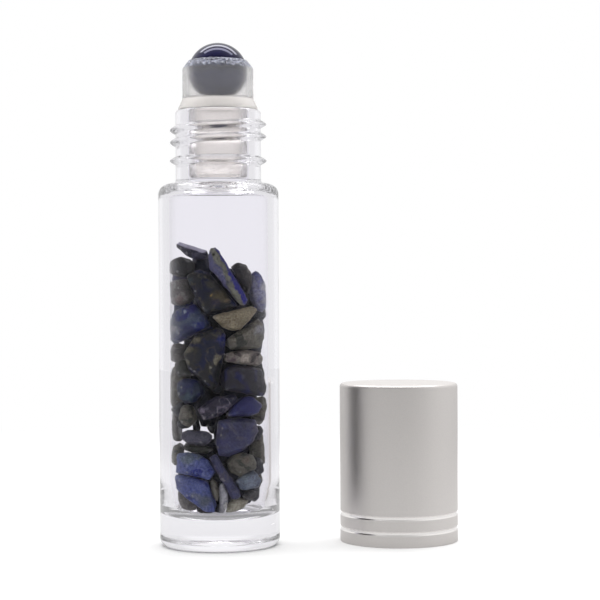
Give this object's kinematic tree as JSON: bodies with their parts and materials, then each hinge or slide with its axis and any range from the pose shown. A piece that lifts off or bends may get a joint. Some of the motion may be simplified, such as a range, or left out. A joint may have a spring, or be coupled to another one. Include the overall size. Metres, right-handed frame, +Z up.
{
  "type": "roll-on bottle",
  "caption": "Clear glass roll-on bottle with a screw neck, a snap-in fitment that holds a rolling stone ball, a filling of stone chips, and its satin metal screw cap beside it.",
  "frame": {"origin": "middle of the bottle's base, on the surface that it stands on", "axes": "+Z up the bottle's axis, +X to the right, where the cap stands, +Y to the back"},
  "size_m": [0.05, 0.0243, 0.0835],
  "materials": {
    "clear_glass": "clear, fire polished",
    "natural_polyethylene": "unpigmented, milky, softly shining",
    "polished_ball_stone": "polished dark blue",
    "satin_aluminium": "satin anodised, bright-cut rings",
    "white_polypropylene": "moulded",
    "lapis_blue": "tumbled, satin",
    "slate_violet": "tumbled, satin",
    "olive_grey": "tumbled, satin",
    "pale_stone": "tumbled, satin",
    "dark_slate": "tumbled, satin"
  },
  "bodies": {
    "bottle": {"glass_bottle": "clear_glass", "front_stone_01": "lapis_blue", "front_stone_02": "lapis_blue", "front_stone_16": "lapis_blue", "front_stone_18": "lapis_blue", "front_stone_24": "lapis_blue", "front_stone_32": "lapis_blue", "front_stone_03": "slate_violet", "front_stone_08": "slate_violet", "front_stone_13": "slate_violet", "front_stone_14": "slate_violet", "front_stone_17": "slate_violet", "front_stone_19": "slate_violet", "front_stone_28": "slate_violet", "front_stone_04": "olive_grey", "front_stone_09": "olive_grey", "front_stone_12": "olive_grey", "front_stone_15": "olive_grey", "front_stone_21": "olive_grey", "front_stone_22": "olive_grey", "front_stone_25": "olive_grey", "front_stone_26": "olive_grey", "front_stone_27": "olive_grey", "front_stone_30": "olive_grey", "front_stone_05": "pale_stone", "front_stone_06": "pale_stone", "front_stone_20": "pale_stone", "front_stone_23": "pale_stone", "front_stone_07": "dark_slate", "front_stone_10": "dark_slate", "front_stone_11": "dark_slate", "front_stone_29": "dark_slate", "front_stone_31": "dark_slate", "left_stone_01": "dark_slate", "left_stone_02": "olive_grey", "left_stone_03": "slate_violet", "left_stone_04": "olive_grey", "left_stone_05": "dark_slate", "left_stone_06": "slate_violet", "right_stone_01": "olive_grey", "right_stone_02": "olive_grey", "right_stone_03": "dark_slate", "right_stone_04": "slate_violet", "right_stone_05": "dark_slate", "right_stone_06": "olive_grey", "back_stone_01": "lapis_blue", "back_stone_02": "olive_grey", "back_stone_03": "slate_violet", "back_stone_04": "dark_slate", "back_stone_05": "dark_slate", "back_stone_06": "lapis_blue", "back_stone_07": "olive_grey", "back_stone_08": "slate_violet", "back_stone_09": "dark_slate", "back_stone_10": "dark_slate", "core_stones": "dark_slate"},
    "fitment": {"roller_housing": "natural_polyethylene"},
    "ball": {"roller_ball": "polished_ball_stone"},
    "cap": {"cap_shell": "satin_aluminium", "cap_liner": "white_polypropylene"}
  },
  "joints": [
    {"name": "fitment_pull", "type": "slide", "parent": "bottle", "child": "fitment", "axis": [0, 0, 1], "range_m": [0, 0.016]},
    {"name": "ball_roll", "type": "hinge", "parent": "fitment", "child": "ball", "pos_m": [0, 0, 0.0786], "axis": [1, 0, 0], "continuous": true},
    {"name": "cap_lift", "type": "slide", "parent": "bottle", "child": "cap", "axis": [0, 0, 1], "range_m": [0, 0.09]}
  ]
}
